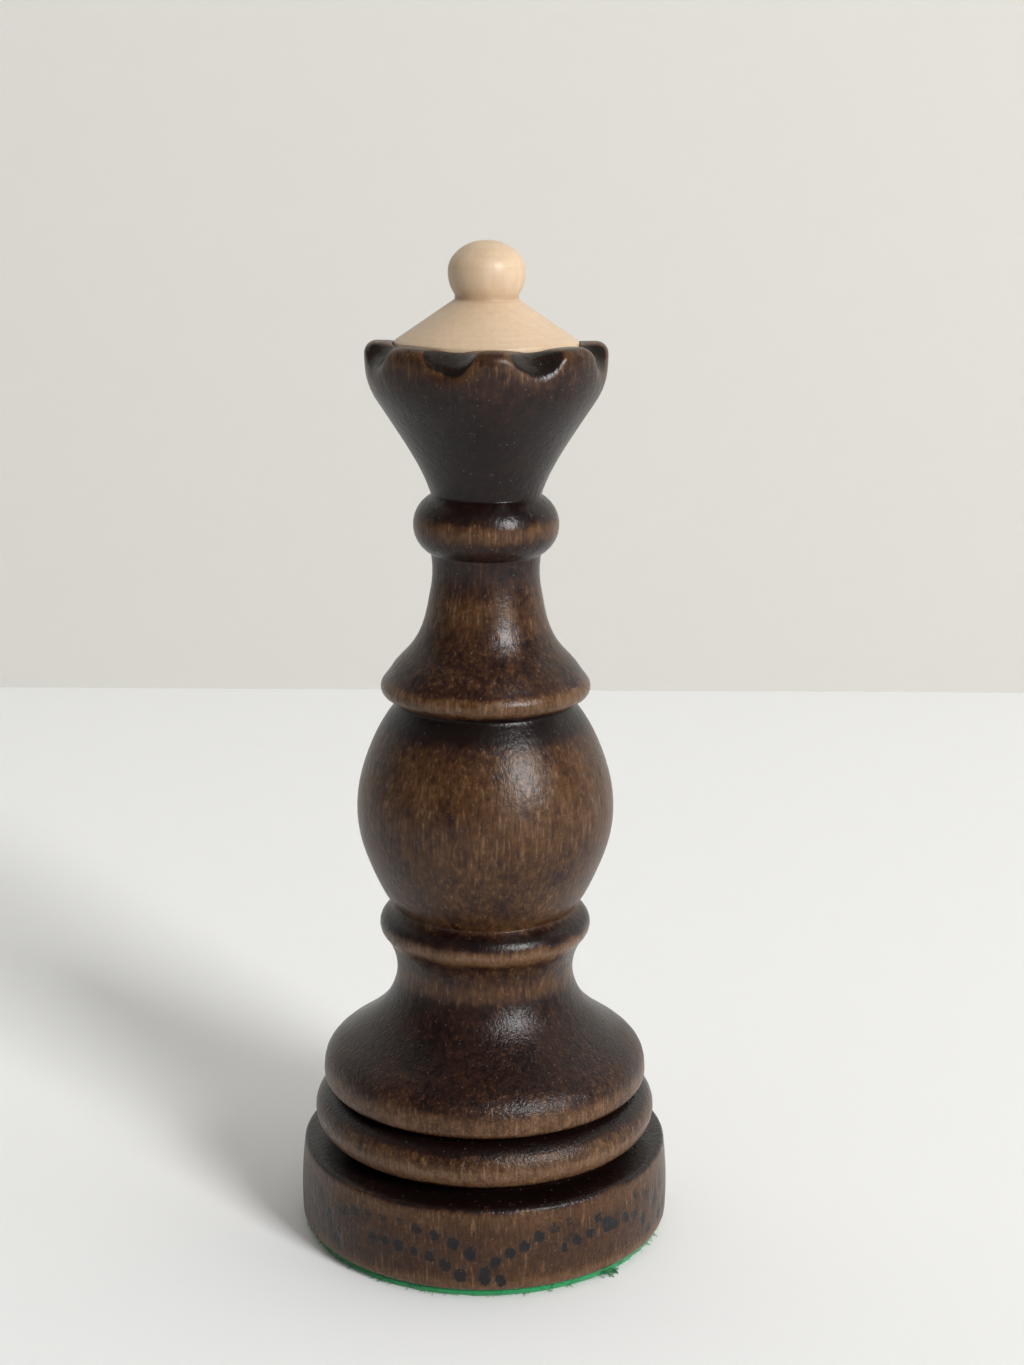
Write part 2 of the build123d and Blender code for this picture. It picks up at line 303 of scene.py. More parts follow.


# Hornbeam under walnut stain and satin lacquer: dark brown, rubbed back to amber on every
# edge that a hand meets, with the short upright flecks of its rays and a soft broken gloss;
# light and shade are also painted into its tone, height by height
def makeStainedWood():
    material, tree = newMaterial("walnutStainedHornbeamSatinLacquer")
    place = addNode(tree, "ShaderNodeTexCoord").outputs["Object"]
    height = addNode(tree, "ShaderNodeSeparateXYZ", {0: place}).outputs[2]
    # waver by 0.5 mm, so that no tone ends on a ruled circle
    waver = addNode(tree, "ShaderNodeTexNoise", {"Vector": place, "Scale": 450.0, "Detail": 3.0})
    waver = addNode(tree, "ShaderNodeMath", {0: waver.outputs[0], 1: 0.5}, operation="SUBTRACT")
    wavering = addNode(tree, "ShaderNodeMath", {0: waver.outputs[0], 1: 1.0 * mm, 2: height},
                       operation="MULTIPLY_ADD")
    top = rubbedOffAndLight[-1][0]
    level = addNode(tree, "ShaderNodeMapRange", {"Value": wavering.outputs[0], "From Min": 0.0,
                                                 "From Max": top * mm})
    # painted light and shade by height: the rubbed-off stain curve also lightens the lit lips and darkens the
    # grooves and up-facing tops
    rubbedAndLit = addNode(tree, "ShaderNodeFloatCurve", {"Value": level.outputs[0]},
                     stops=[(h / top, amount) for h, amount in rubbedOffAndLight])
    # grain runs up the piece: streaks about 0.6 mm wide and 4 mm long
    grainPlace = addNode(tree, "ShaderNodeMapping", {"Vector": place, "Scale": (1700, 1700, 240)})
    streaks = addNode(tree, "ShaderNodeTexNoise", {"Vector": grainPlace.outputs[0], "Scale": 1.0,
                                                   "Detail": 4.0, "Roughness": 0.6, "Distortion": 0.4})
    # ray flecks are 0.1 mm wide and drawn at twice that, to show
    fleckPlace = addNode(tree, "ShaderNodeMapping", {"Vector": place, "Scale": (4200, 4200, 520)})
    flecks = addNode(tree, "ShaderNodeTexNoise", {"Vector": fleckPlace.outputs[0], "Scale": 1.0,
                                                  "Detail": 2.0})
    fleckMask = addNode(tree, "ShaderNodeMapRange", {"Value": flecks.outputs[0], "From Min": 0.52,
                                                     "From Max": 0.68}, interpolation_type="SMOOTHSTEP")
    # worn patches several millimetres across
    patches = addNode(tree, "ShaderNodeTexNoise", {"Vector": place, "Scale": 160.0, "Detail": 5.0,
                                                   "Roughness": 0.65})
    # lacquer: orange peel of about 0.6 mm, whose tops are rubbed first
    peel = addNode(tree, "ShaderNodeTexNoise", {"Vector": place, "Scale": 1500.0, "Detail": 3.0,
                                                "Roughness": 0.6})
    # pits of about 0.3 mm in the lacquer, all over the dome and few elsewhere
    pits = addNode(tree, "ShaderNodeTexNoise", {"Vector": place, "Scale": 3400.0, "Detail": 2.0,
                                                "Roughness": 0.7})
    pitted = addNode(tree, "ShaderNodeMapRange", {"Value": wavering.outputs[0], "From Min": 25.0 * mm,
                                                  "From Max": 20.0 * mm, "To Min": 0.15})
    pitHeight = addNode(tree, "ShaderNodeMath", {0: pits.outputs[0], 1: 0.5}, operation="SUBTRACT")
    pitHeight = addNode(tree, "ShaderNodeMath", {0: pitHeight.outputs[0], 1: pitted.outputs[0]},
                        operation="MULTIPLY")
    mottle = addNode(tree, "ShaderNodeMath", {0: streaks.outputs[0], 1: patches.outputs[0]},
                     operation="ADD")
    mottle = addNode(tree, "ShaderNodeMath", {0: mottle.outputs[0], 1: pitHeight.outputs[0]},
                     operation="ADD")
    mottle = addNode(tree, "ShaderNodeMath", {0: mottle.outputs[0], 1: peel.outputs[0]},
                     operation="ADD")
    mottle = addNode(tree, "ShaderNodeMapRange", {"Value": mottle.outputs[0], "From Min": 1.1,
                                                  "From Max": 1.9, "To Min": -0.36, "To Max": 0.34})
    # the drum is the plainest part
    calm = addNode(tree, "ShaderNodeMapRange", {"Value": height, "From Min": 7.0 * mm,
                                                "From Max": 11.0 * mm, "To Min": 0.5})
    mottle = addNode(tree, "ShaderNodeMath", {0: mottle.outputs[0], 1: calm.outputs[0]},
                     operation="MULTIPLY")
    # the crown's edge is rubbed most round the scoops
    scoopDistance = addNode(tree, "ShaderNodeAttribute", attribute_name="scoopDistance")
    lipWear = addNode(tree, "ShaderNodeMapRange", {"Value": scoopDistance.outputs["Fac"],
                                                   "From Min": 1.6, "From Max": 0.1, "To Max": 0.22})
    # rubbed-off stain with its painted light and shade, plus the random mottle and the wear round the scoops
    wearAndLight = addNode(tree, "ShaderNodeMath", {0: rubbedAndLit.outputs[0], 1: mottle.outputs[0]}, operation="ADD")
    wearAndLight = addNode(tree, "ShaderNodeMath", {0: wearAndLight.outputs[0], 1: lipWear.outputs[0]}, operation="ADD")
    damped = addNode(tree, "ShaderNodeMapRange", {"Value": rubbedAndLit.outputs[0], "From Min": 0.0,
                                                  "From Max": 0.3})
    wearAndLight = addNode(tree, "ShaderNodeMath", {0: wearAndLight.outputs[0], 1: damped.outputs[0]},
                   operation="MULTIPLY", use_clamp=True)
    # the ramp turns wear and painted light and shade into colour: deep in grooves and painted shade, amber on
    # worn and painted-lit lips
    tone = addNode(tree, "ShaderNodeValToRGB", {"Fac": wearAndLight.outputs[0]}, stops=[
        (0.0, stained["deep"]), (0.25, stained["brown"]), (0.6, stained["thin"]), (1.0, stained["amber"])])
    fleckDepth = addNode(tree, "ShaderNodeMath", {0: fleckMask.outputs[0], 1: 0.4}, operation="MULTIPLY")
    flecked = addNode(tree, "ShaderNodeMix", {0: fleckDepth.outputs[0], 6: tone.outputs[0],
                                              7: toLinear(stained["fleck"])}, data_type="RGBA")
    # fibres that took less stain: pale lines, only where the stain is thin
    fibreMask = addNode(tree, "ShaderNodeMapRange", {"Value": flecks.outputs[0], "From Min": 0.42,
                                                     "From Max": 0.3}, interpolation_type="SMOOTHSTEP")
    fibreMask = addNode(tree, "ShaderNodeMath", {0: fibreMask.outputs[0], 1: wearAndLight.outputs[0]},
                        operation="MULTIPLY")
    fibreMask = addNode(tree, "ShaderNodeMath", {0: fibreMask.outputs[0], 1: 0.7}, operation="MULTIPLY")
    flecked = addNode(tree, "ShaderNodeMix", {0: fibreMask.outputs[0], 6: flecked.outputs[2],
                                              7: toLinear(stained["fibre"])}, data_type="RGBA")
    # burned dots: a blue-black core with a paler halo
    dotDistance = addNode(tree, "ShaderNodeAttribute", attribute_name="dotDistance")
    ragged = addNode(tree, "ShaderNodeTexNoise", {"Vector": place, "Scale": 2200.0, "Detail": 2.0})
    ragged = addNode(tree, "ShaderNodeMath", {0: ragged.outputs[0], 1: 0.5}, operation="SUBTRACT")
    dotEdge = addNode(tree, "ShaderNodeMath", {0: ragged.outputs[0], 1: 0.35, 2: dotDistance.outputs["Fac"]},
                      operation="MULTIPLY_ADD")
    halo = addNode(tree, "ShaderNodeMapRange", {"Value": dotEdge.outputs[0], "From Min": 0.4,
                                                "From Max": 0.1, "To Max": 0.25},
                   interpolation_type="SMOOTHSTEP")
    core = addNode(tree, "ShaderNodeMapRange", {"Value": dotEdge.outputs[0], "From Min": 0.22,
                                                "From Max": 0.08, "To Max": 0.95},
                   interpolation_type="SMOOTHSTEP")
    haloed = addNode(tree, "ShaderNodeMix", {0: halo.outputs[0], 6: flecked.outputs[2],
                                             7: toLinear(stained["dotHalo"])}, data_type="RGBA")
    dotted = addNode(tree, "ShaderNodeMix", {0: core.outputs[0], 6: haloed.outputs[2],
                                             7: toLinear(stained["dotCore"])}, data_type="RGBA")
    # scoops: scorched black, thinner in patches
    scorchEdge = addNode(tree, "ShaderNodeMath", {0: waver.outputs[0], 1: 1.2,
                                                  2: scoopDistance.outputs["Fac"]},
                         operation="MULTIPLY_ADD")
    scorch = addNode(tree, "ShaderNodeMapRange", {"Value": scorchEdge.outputs[0], "From Min": 0.15,
                                                  "From Max": -0.25}, interpolation_type="SMOOTHSTEP")
    scorchPatch = addNode(tree, "ShaderNodeMapRange", {"Value": patches.outputs[0], "From Min": 0.35,
                                                       "From Max": 0.65, "To Min": 0.8, "To Max": 1.0})
    scorchDepth = addNode(tree, "ShaderNodeMath", {0: scorch.outputs[0], 1: scorchPatch.outputs[0]},
                          operation="MULTIPLY")
    scorched = addNode(tree, "ShaderNodeMix", {0: scorchDepth.outputs[0], 6: dotted.outputs[2],
                                               7: toLinear(stained["burnt"])}, data_type="RGBA")
    # dust: pale specks of 0.1 mm, only a few in a hundred cells
    specks = addNode(tree, "ShaderNodeTexVoronoi", {"Vector": place, "Scale": 3200.0, "Randomness": 1.0})
    speckSize = addNode(tree, "ShaderNodeMapRange", {"Value": specks.outputs["Distance"],
                                                     "From Min": 0.3, "From Max": 0.15})
    speckPick = addNode(tree, "ShaderNodeSeparateColor", {0: specks.outputs["Color"]})
    speckPick = addNode(tree, "ShaderNodeMath", {0: speckPick.outputs[0], 1: 0.93},
                        operation="GREATER_THAN")
    dust = addNode(tree, "ShaderNodeMath", {0: speckSize.outputs[0], 1: speckPick.outputs[0]},
                   operation="MULTIPLY")
    dust = addNode(tree, "ShaderNodeMath", {0: dust.outputs[0], 1: 0.42}, operation="MULTIPLY")
    dusty = addNode(tree, "ShaderNodeMix", {0: dust.outputs[0], 6: scorched.outputs[2],
                                            7: toLinear(stained["dust"])}, data_type="RGBA")
    gloss = addNode(tree, "ShaderNodeMapRange", {"Value": patches.outputs[0], "From Min": 0.3,
                                                 "From Max": 0.7, "To Min": stained["roughness"] - 0.05,
                                                 "To Max": stained["roughness"] + 0.1})
    gloss = addNode(tree, "ShaderNodeMath", {0: scorch.outputs[0], 1: -0.04, 2: gloss.outputs[0]},
                    operation="MULTIPLY_ADD")
    relief = addNode(tree, "ShaderNodeMath", {0: streaks.outputs[0], 1: 0.7, 2: peel.outputs[0]},
                     operation="MULTIPLY_ADD")
    relief = addNode(tree, "ShaderNodeMath", {0: flecks.outputs[0], 1: 0.35, 2: relief.outputs[0]},
                     operation="MULTIPLY_ADD")
    relief = addNode(tree, "ShaderNodeMath", {0: pitHeight.outputs[0], 1: 1.8, 2: relief.outputs[0]},
                     operation="MULTIPLY_ADD")
    bump = addNode(tree, "ShaderNodeBump", {"Height": relief.outputs[0], "Strength": 0.6,
                                            "Distance": 0.08 * mm})
    shader = addNode(tree, "ShaderNodeBsdfPrincipled", {
        "Base Color": dusty.outputs[2], "Roughness": gloss.outputs[0], "IOR": stained["ior"],
        "Specular IOR Level": stained["specular"], "Normal": bump.outputs[0]})
    addNode(tree, "ShaderNodeOutputMaterial", {"Surface": shader.outputs[0]})
    return material


# ---- natural hornbeam
natural = {
    "pale": "#cab397",
    "warm": "#bda183",
    "line": "#9c7a56",
    "groove": (5.35, 4.45),      # its two edges, millimetres below the tip
    "roughness": 0.4,
    "ior": 1.5,
}


# Hornbeam left its own colour under clear satin lacquer: creamy, with faint upright grain
# and the fine rings that a turning tool leaves
def makeNaturalWood():
    material, tree = newMaterial("naturalHornbeamSatinLacquer")
    place = addNode(tree, "ShaderNodeTexCoord").outputs["Object"]
    height = addNode(tree, "ShaderNodeSeparateXYZ", {0: place}).outputs[2]
    grainPlace = addNode(tree, "ShaderNodeMapping", {"Vector": place, "Scale": (1400, 1400, 120)})
    grain = addNode(tree, "ShaderNodeTexNoise", {"Vector": grainPlace.outputs[0], "Scale": 1.0,
                                                 "Detail": 5.0, "Roughness": 0.6, "Distortion": 0.5})
    # tool rings are 0.15 mm apart and drawn at 0.4 mm, to show
    ringPlace = addNode(tree, "ShaderNodeMath", {0: height, 1: 2500.0}, operation="MULTIPLY")
    rings = addNode(tree, "ShaderNodeTexNoise", {"W": ringPlace.outputs[0], "Scale": 1.0, "Detail": 2.0},
                    noise_dimensions="1D")
    mixed = addNode(tree, "ShaderNodeMath", {0: rings.outputs[0], 1: 0.35, 2: grain.outputs[0]},
                    operation="MULTIPLY_ADD")
    tone = addNode(tree, "ShaderNodeValToRGB", {"Fac": mixed.outputs[0]}, stops=[
        (0.4, natural["warm"]), (0.95, natural["pale"])])
    # the groove under the knob holds a thin dark line
    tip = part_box("finial")[1][2]
    grooveLow, grooveHigh = (tip - depth * mm for depth in natural["groove"])
    middle = addNode(tree, "ShaderNodeMath", {0: height, 1: (grooveLow + grooveHigh) / 2},
                     operation="SUBTRACT")
    middle = addNode(tree, "ShaderNodeMath", {0: middle.outputs[0]}, operation="ABSOLUTE")
    groove = addNode(tree, "ShaderNodeMapRange", {"Value": middle.outputs[0],
                                                  "From Min": (grooveHigh - grooveLow) * 0.6,
                                                  "From Max": 0.0, "To Max": 0.6},
                     interpolation_type="SMOOTHSTEP")
    lined = addNode(tree, "ShaderNodeMix", {0: groove.outputs[0], 6: tone.outputs[0],
                                            7: toLinear(natural["line"])}, data_type="RGBA")
    bump = addNode(tree, "ShaderNodeBump", {"Height": mixed.outputs[0], "Strength": 0.35,
                                            "Distance": 0.03 * mm})
    gloss = addNode(tree, "ShaderNodeMapRange", {"Value": grain.outputs[0], "From Min": 0.3,
                                                 "From Max": 0.7, "To Min": natural["roughness"] - 0.05,
                                                 "To Max": natural["roughness"] + 0.08})
    shader = addNode(tree, "ShaderNodeBsdfPrincipled", {
        "Base Color": lined.outputs[2], "Roughness": gloss.outputs[0], "IOR": natural["ior"],
        "Subsurface Weight": 0.08, "Subsurface Radius": (1.0, 0.6, 0.35), "Subsurface Scale": 0.5 * mm,
        "Normal": bump.outputs[0]})
    addNode(tree, "ShaderNodeOutputMaterial", {"Surface": shader.outputs[0]})
    return material


# ---- wool felt
feltFinish = {
    "green": "#109552",
    "shade": "#086b3c",
    "roughness": 0.95,
    "sheen": 0.4,
}


# Pressed wool felt, dyed green: matt and furry, a little darker between its fibres
def makeFelt():
    material, tree = newMaterial("pressedWoolFeltGreen")
    place = addNode(tree, "ShaderNodeTexCoord").outputs["Object"]
    fibres = addNode(tree, "ShaderNodeTexNoise", {"Vector": place, "Scale": 5000.0, "Detail": 4.0,
                                                  "Distortion": 2.0})
    tone = addNode(tree, "ShaderNodeValToRGB", {"Fac": fibres.outputs[0]}, stops=[
        (0.35, feltFinish["shade"]), (0.62, feltFinish["green"])])
    bump = addNode(tree, "ShaderNodeBump", {"Height": fibres.outputs[0], "Strength": 0.8,
                                            "Distance": 0.1 * mm})
    shader = addNode(tree, "ShaderNodeBsdfPrincipled", {
        "Base Color": tone.outputs[0], "Roughness": feltFinish["roughness"], "Normal": bump.outputs[0],
        "Sheen Weight": feltFinish["sheen"], "Sheen Roughness": 0.5})
    addNode(tree, "ShaderNodeOutputMaterial", {"Surface": shader.outputs[0]})
    return material


# Mild steel bar as it left the lathe: grey, with fine rings on its face
def makeSteel():
    material, tree = newMaterial("turnedMildSteel")
    place = addNode(tree, "ShaderNodeTexCoord").outputs["Object"]
    flat = addNode(tree, "ShaderNodeVectorMath", {0: place, 1: (1, 1, 0)}, operation="MULTIPLY")
    radius = addNode(tree, "ShaderNodeVectorMath", {0: flat.outputs[0]}, operation="LENGTH")
    ringPlace = addNode(tree, "ShaderNodeMath", {0: radius.outputs["Value"], 1: 5000.0},
                        operation="MULTIPLY")
    rings = addNode(tree, "ShaderNodeTexNoise", {"W": ringPlace.outputs[0], "Scale": 1.0},
                    noise_dimensions="1D")
    tone = addNode(tree, "ShaderNodeValToRGB", {"Fac": rings.outputs[0]}, stops=[
        (0.3, "#8a8a88"), (0.7, "#b2b1ad")])
    bump = addNode(tree, "ShaderNodeBump", {"Height": rings.outputs[0], "Distance": 0.02 * mm})
    shader = addNode(tree, "ShaderNodeBsdfPrincipled", {
        "Base Color": tone.outputs[0], "Metallic": 1.0, "Roughness": 0.35, "Normal": bump.outputs[0]})
    addNode(tree, "ShaderNodeOutputMaterial", {"Surface": shader.outputs[0]})
    return material


stainedWood = makeStainedWood()
naturalWood = makeNaturalWood()
greenFelt = makeFelt()
frame["nodes"]["base_weight"].data.materials.clear()
frame["nodes"]["base_weight"].data.materials.append(makeSteel())
print("materials made")

# ---- turned body
body = {
    "segments": 340,
    "boreRadius": 9.0,
    "boreDepth": 11.0,
    "crownRadius": 10.83,
    "crownWall": 2.5,
    "crownOuterRound": 1.1,
    "crownInnerRound": 0.45,
    "recessDepth": 1.5,
    "rimDepth": 2.58,            # the outline is read from the CAD up to here below the top
    "socketRadius": 3.05,
    "socketDepth": 7.6,
    "scoopSlope": 42.0,
    "scoopSoftness": 0.95,       # how far a scoop's edge is rounded over
    "scoopRock": 0.045,          # share of the file's radius
    # degrees from the front, radius of the file, bite below the rim
    "scoops": [(-157, 2.6, 2.2), (-114, 2.9, 2.3), (-67, 2.8, 2.4), (-17, 2.2, 2.15),
               (25, 2.9, 2.1), (74, 2.8, 2.3), (115, 2.5, 2.1), (157, 2.8, 2.2)],
}

bodyLow, bodyHigh = (corner[2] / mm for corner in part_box("turned_body"))
plainTop = bodyHigh - body["rimDepth"]


def bodyOutline():
    def isOuter(radius, height):
        inBore = (radius < body["boreRadius"] + 0.06) & (height < bodyLow + body["boreDepth"] + 0.1)
        inSocket = (radius < body["socketRadius"] + 0.05) & (height > 60)
        return ~inBore & ~inSocket & (height < plainTop)

    outline = readOutline("turned_body", isOuter, body["boreRadius"])
    crownRadius = body["crownRadius"]
    recessRadius = crownRadius - body["crownWall"]
    seat = bodyHigh - body["recessDepth"]
    outer, inner = body["crownOuterRound"], body["crownInnerRound"]
    boreTop = bodyLow + body["boreDepth"]
    return (
        [(0, boreTop), (body["boreRadius"], boreTop), (body["boreRadius"], bodyLow)]
        + outline
        + [(crownRadius, bodyHigh - outer - 0.4)]
        + roundPoints((crownRadius - outer, bodyHigh - outer), outer, 0, 90)
        + roundPoints((recessRadius + inner, bodyHigh - inner), inner, 90, 180)
        + [(recessRadius, seat), (body["socketRadius"], seat),
           (body["socketRadius"], seat - body["socketDepth"]), (0, seat - body["socketDepth"])]
    )


# millimetres between rows: close on the drum and the crown, wide where nothing shows
def bodyRowStep(radius, height):
    if radius < body["boreRadius"] + 0.1 and height < bodyLow + body["boreDepth"] + 0.1:
        return 4.0
    if radius < body["socketRadius"] + 3.0 and height > bodyHigh - 10:
        return 4.0
    if radius > 17.0:
        return 0.42
    if height > 80.5:
        return 0.36
    return 1.15


bodyRows = spaceRows(bodyOutline(), bodyRowStep)
turnedBody, bodyPattern = turnPiece("turnedBody", bodyRows, body["segments"], stainedWood)
print("body outline:", len(bodyRows), "rows")

# ---- burned dots round the drum
dots = {
    "radius": 17.46,
    "size": 0.38,                # half of a dot's width
    "stretch": 1.25,             # taller than wide
    "dent": 0.05,
    "seed": 4,
    # degrees from the front, height above the board, share of the usual size
    "front": [
        (-69.3, 7.6, 0.7), (-63.6, 6.85, 0.9), (-58.4, 6.2, 1.3), (-46.0, 5.95, 1.0), (-41.6, 6.5, 1.1),
        (-36.6, 6.7, 0.9), (-31.4, 6.8, 1.0), (-25.5, 6.85, 0.7), (-19.7, 6.4, 1.0), (-14.3, 6.1, 1.0),
        (-8.7, 5.4, 1.15), (-3.5, 4.5, 1.2), (-66.6, 4.6, 0.7), (-62.2, 4.0, 0.9), (-57.2, 4.2, 0.8),
        (-54.0, 4.7, 1.0), (-52.5, 3.85, 0.9), (-34.6, 4.5, 1.0), (-30.2, 4.55, 0.95), (-25.6, 4.4, 1.05),
        (-20.6, 4.2, 0.75), (-15.7, 3.9, 0.95), (-11.0, 3.3, 1.15), (-6.4, 2.35, 1.3), (-50.2, 2.7, 1.2),
        (-56.8, 2.7, 0.7), (0.8, 2.85, 0.9), (0.5, 2.0, 1.0), (3.8, 3.7, 1.0), (8.2, 4.5, 1.05),
        (12.5, 5.05, 1.0), (17.0, 5.8, 1.05), (21.7, 6.35, 1.0), (26.9, 6.8, 0.9), (5.5, 1.85, 1.05),
        (25.0, 4.35, 0.8), (29.2, 4.85, 1.0), (34.0, 5.05, 0.95), (37.2, 6.4, 0.9), (40.7, 5.35, 1.6),
        (43.3, 5.1, 1.0), (48.4, 5.1, 1.1), (53.8, 6.9, 1.0), (53.0, 4.85, 0.9), (57.7, 4.0, 1.0),
        (61.2, 2.6, 0.9), (65.8, 4.85, 1.2), (69.7, 2.9, 1.2), (71.0, 5.6, 0.8), (59.3, 6.3, 0.8),
    ],
    # swags carried on round the back
    "backStart": 73,             # degrees from the front
    "backSpan": 214,
    "backSwags": 4,
    "rowGap": 2.1,
    "rise": 4.4,
    "foot": 2.3,
    "perSwag": 12,
    "lowest": 1.6,               # no dot below this height
}


# the swags seen in front, then the same swags carried on round the back
def dotPlaces():
    chance = np.random.default_rng(dots["seed"])
    places = list(dots["front"])
    swagWidth = dots["backSpan"] / dots["backSwags"]
    for swag in range(dots["backSwags"]):
        for row, count in ((0, dots["perSwag"]), (1, dots["perSwag"] - 3)):
            for i in range(count):
                share = (i + 0.5) / count
                azimuth = dots["backStart"] + swag * swagWidth + share * swagWidth
                rise = math.sin(math.pi * share) ** 0.7 * dots["rise"]
                height = dots["foot"] + rise - row * dots["rowGap"] + chance.normal(0, 0.15)
                if height > dots["lowest"]:
                    places.append((azimuth + chance.normal(0, 0.5), height, chance.uniform(0.75, 1.2)))
    return places


def makeDotTree():
    tree, given = newTree("burnDots", [("Dots", "Object"), ("Size", "Float"), ("Stretch", "Float"),
                                       ("Dent", "Float"), ("Seed", "Int"), ("Finish", "Material")])
    centres = addNode(tree, "GeometryNodeObjectInfo", {"Object": given["Dots"]})
    place = addNode(tree, "GeometryNodeInputPosition")
    split = addNode(tree, "ShaderNodeSeparateXYZ", {0: place.outputs[0]})
    towards = addNode(tree, "ShaderNodeMath", {0: split.outputs[1], 1: -1.0}, operation="MULTIPLY")
    azimuth = addNode(tree, "ShaderNodeMath", {0: split.outputs[0], 1: towards.outputs[0]},
                      operation="ARCTAN2")
    facing = addNode(tree, "ShaderNodeCombineXYZ", {0: math.pi / 2, 2: azimuth.outputs[0]})
    facing = addNode(tree, "FunctionNodeEulerToRotation", {0: facing.outputs[0]})
    spin = addNode(tree, "FunctionNodeRandomValue", {2: -0.1, 3: 0.7, "Seed": given["Seed"]},
                   data_type="FLOAT")
    spin = addNode(tree, "ShaderNodeCombineXYZ", {2: spin.outputs[1]})
    spin = addNode(tree, "FunctionNodeEulerToRotation", {0: spin.outputs[0]})
    turned = addNode(tree, "FunctionNodeRotateRotation", {0: facing.outputs[0], 1: spin.outputs[0]},
                     rotation_space="LOCAL")
    share = addNode(tree, "GeometryNodeInputNamedAttribute", {"Name": "share"}, data_type="FLOAT")
    width = addNode(tree, "ShaderNodeMath", {0: share.outputs[0], 1: given["Size"]}, operation="MULTIPLY")
    tall = addNode(tree, "ShaderNodeMath", {0: width.outputs[0], 1: given["Stretch"]},
                   operation="MULTIPLY")
    scale = addNode(tree, "ShaderNodeCombineXYZ", {0: width.outputs[0], 1: tall.outputs[0], 2: 1.0})
    disc = addNode(tree, "GeometryNodeMeshCircle", {"Vertices": 10, "Radius": 1.0}, fill_type="NGON")
    marks = addNode(tree, "GeometryNodeInstanceOnPoints", {
        "Points": centres.outputs["Geometry"], "Instance": disc.outputs[0],
        "Rotation": turned.outputs[0], "Scale": scale.outputs[0]})
    marks = addNode(tree, "GeometryNodeRealizeInstances", {"Geometry": marks.outputs[0]})
    near = addNode(tree, "GeometryNodeProximity", {0: marks.outputs[0]}, target_element="FACES")
    distance = addNode(tree, "ShaderNodeMath", {0: near.outputs["Distance"], 1: 1 / mm},
                       operation="MULTIPLY")
    stored = addNode(tree, "GeometryNodeStoreNamedAttribute", {
        "Geometry": given["Geometry"], "Name": "dotDistance", "Value": distance.outputs[0]},
        data_type="FLOAT", domain="POINT")
    pressed = addNode(tree, "ShaderNodeMapRange", {"Value": distance.outputs[0], "From Min": 0.3,
                                                   "From Max": 0.0}, interpolation_type="SMOOTHSTEP")
    pressed = addNode(tree, "ShaderNodeMath", {0: pressed.outputs[0], 1: given["Dent"]},
                      operation="MULTIPLY")
    inward = addNode(tree, "ShaderNodeVectorMath", {0: place.outputs[0], 1: (-1, -1, 0)},
                     operation="MULTIPLY")
    inward = addNode(tree, "ShaderNodeVectorMath", {0: inward.outputs[0]}, operation="NORMALIZE")
    offset = addNode(tree, "ShaderNodeVectorMath", {0: inward.outputs[0], "Scale": pressed.outputs[0]},
                     operation="SCALE")
    dented = addNode(tree, "GeometryNodeSetPosition", {"Geometry": stored.outputs[0],
                                                       "Offset": offset.outputs[0]})
    real = addNode(tree, "GeometryNodeRealizeInstances", {"Geometry": dented.outputs[0]})
    finished = addNode(tree, "GeometryNodeSetMaterial", {"Geometry": real.outputs[0],
                                                         "Material": given["Finish"]})
    addNode(tree, "NodeGroupOutput", {0: finished.outputs[0]})
    return tree


dotMesh = bpy.data.meshes.new("dotCentres")
dotList = dotPlaces()
dotMesh.from_pydata([(dots["radius"] * mm * math.sin(math.radians(azimuth)),
                      -dots["radius"] * mm * math.cos(math.radians(azimuth)), height * mm)
                     for azimuth, height, share in dotList], [], [])
shares = dotMesh.attributes.new("share", "FLOAT", "POINT")
shares.data.foreach_set("value", [share for azimuth, height, share in dotList])
dotCentres = newObject("dotCentres", dotMesh)
addTree(turnedBody, makeDotTree(), {
    "Dots": dotCentres, "Size": dots["size"] * mm, "Stretch": dots["stretch"],
    "Dent": dots["dent"] * mm, "Seed": dots["seed"], "Finish": stainedWood})
bodyMesh = bakeTrees(turnedBody)
bpy.data.objects.remove(bodyPattern)
bpy.data.objects.remove(dotCentres)
print("burned dots:", len(dotList))


